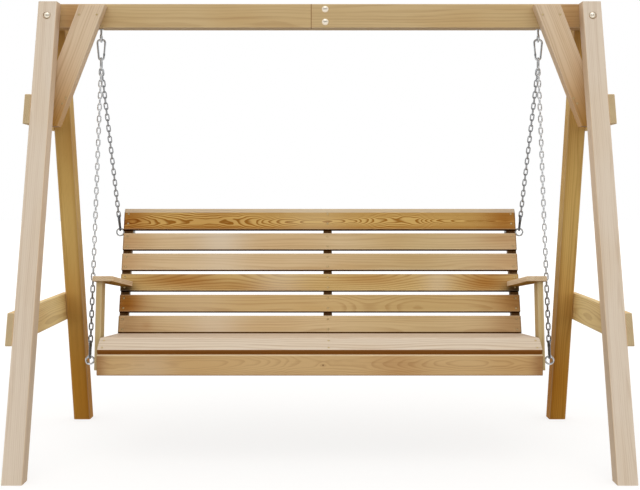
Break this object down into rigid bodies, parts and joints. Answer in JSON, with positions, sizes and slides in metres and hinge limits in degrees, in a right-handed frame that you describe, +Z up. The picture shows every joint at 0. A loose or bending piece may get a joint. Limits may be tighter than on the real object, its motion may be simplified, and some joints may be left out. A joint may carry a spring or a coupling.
{
  "type": "swing bench",
  "caption": "Wooden garden swing bench: a slatted seat with back and armrests hangs on chains from the beam of an A-frame stand and swings forwards and backwards.",
  "frame": {"origin": "on the ground, in the middle between the four feet", "axes": "+X along the beam, +Y from the front of the seat to its back, +Z up"},
  "size_m": [2.172, 1.2236, 1.7],
  "materials": {
    "stand_timber": "planed softwood, matte",
    "bench_timber": "planed softwood, matte",
    "zinc_steel": "zinc plated",
    "chain_steel": "zinc plated",
    "screw_steel": "yellowish zinc plated"
  },
  "bodies": {
    "stand": {"front_left_leg": "stand_timber", "front_right_leg": "stand_timber", "rear_left_leg": "stand_timber", "rear_right_leg": "stand_timber", "left_beam": "stand_timber", "right_beam": "stand_timber", "upper_left_tie": "stand_timber", "upper_right_tie": "stand_timber", "lower_left_tie": "stand_timber", "lower_right_tie": "stand_timber", "left_brace": "stand_timber", "right_brace": "stand_timber", "leg_bolts": "zinc_steel", "splice_bolts": "zinc_steel", "tie_screws": "screw_steel", "brace_screws": "screw_steel", "beam_eyes": "zinc_steel"},
    "bench": {"seat_slat_1": "bench_timber", "seat_slat_2": "bench_timber", "seat_slat_3": "bench_timber", "seat_slat_4": "bench_timber", "seat_slat_5": "bench_timber", "seat_slat_6": "bench_timber", "back_slat_1": "bench_timber", "back_slat_2": "bench_timber", "back_slat_3": "bench_timber", "back_slat_4": "bench_timber", "back_slat_5": "bench_timber", "back_slat_6": "bench_timber", "front_rail": "bench_timber", "left_bearer": "bench_timber", "middle_bearer": "bench_timber", "right_bearer": "bench_timber", "left_upright": "bench_timber", "middle_upright": "bench_timber", "right_upright": "bench_timber", "left_post": "bench_timber", "right_post": "bench_timber", "left_packer": "bench_timber", "right_packer": "bench_timber", "left_arm": "bench_timber", "right_arm": "bench_timber", "bench_screws": "screw_steel", "bench_bolts": "zinc_steel", "front_eyes": "zinc_steel", "rear_eyes": "zinc_steel", "top_hooks": "zinc_steel", "long_links": "zinc_steel", "front_hooks": "zinc_steel", "rear_hooks": "zinc_steel", "front_left_chain": "chain_steel", "front_right_chain": "chain_steel", "rear_left_chain": "chain_steel", "rear_right_chain": "chain_steel"},
    "top_left_gate": {"top_left_gate": "zinc_steel"},
    "top_right_gate": {"top_right_gate": "zinc_steel"},
    "front_left_gate": {"front_left_gate": "zinc_steel"},
    "front_right_gate": {"front_right_gate": "zinc_steel"},
    "rear_left_gate": {"rear_left_gate": "zinc_steel"},
    "rear_right_gate": {"rear_right_gate": "zinc_steel"}
  },
  "joints": [
    {"name": "bench_swing", "type": "hinge", "parent": "stand", "child": "bench", "pos_m": [0, 0, 1.56635], "axis": [1, 0, 0], "range_deg": [-30, 30]},
    {"name": "top_left_gate_spring", "type": "hinge", "parent": "bench", "child": "top_left_gate", "pos_m": [-0.83144, 0, 1.50732], "axis": [0, -1, 0], "range_deg": [0, 22], "stiffness_Nm_per_rad": 0.04, "springref_deg": -22.92},
    {"name": "top_right_gate_spring", "type": "hinge", "parent": "bench", "child": "top_right_gate", "pos_m": [0.83144, 0, 1.50732], "axis": [0, 1, 0], "range_deg": [0, 22], "stiffness_Nm_per_rad": 0.04, "springref_deg": -22.92},
    {"name": "front_left_gate_spring", "type": "hinge", "parent": "bench", "child": "front_left_gate", "pos_m": [-0.84797, -0.18094, 0.37826], "axis": [1, 0, -0.0055], "range_deg": [0, 22], "stiffness_Nm_per_rad": 0.04, "springref_deg": -22.92},
    {"name": "front_right_gate_spring", "type": "hinge", "parent": "bench", "child": "front_right_gate", "pos_m": [0.84797, -0.18094, 0.37826], "axis": [1, 0, 0.0055], "range_deg": [0, 22], "stiffness_Nm_per_rad": 0.04, "springref_deg": -22.92},
    {"name": "rear_left_gate_spring", "type": "hinge", "parent": "bench", "child": "rear_left_gate", "pos_m": [-0.81246, 0.25603, 0.842], "axis": [0.9988, 0, 0.048], "range_deg": [0, 22], "stiffness_Nm_per_rad": 0.04, "springref_deg": -22.92},
    {"name": "rear_right_gate_spring", "type": "hinge", "parent": "bench", "child": "rear_right_gate", "pos_m": [0.81246, 0.25603, 0.842], "axis": [0.9988, 0, -0.048], "range_deg": [0, 22], "stiffness_Nm_per_rad": 0.04, "springref_deg": -22.92}
  ]
}
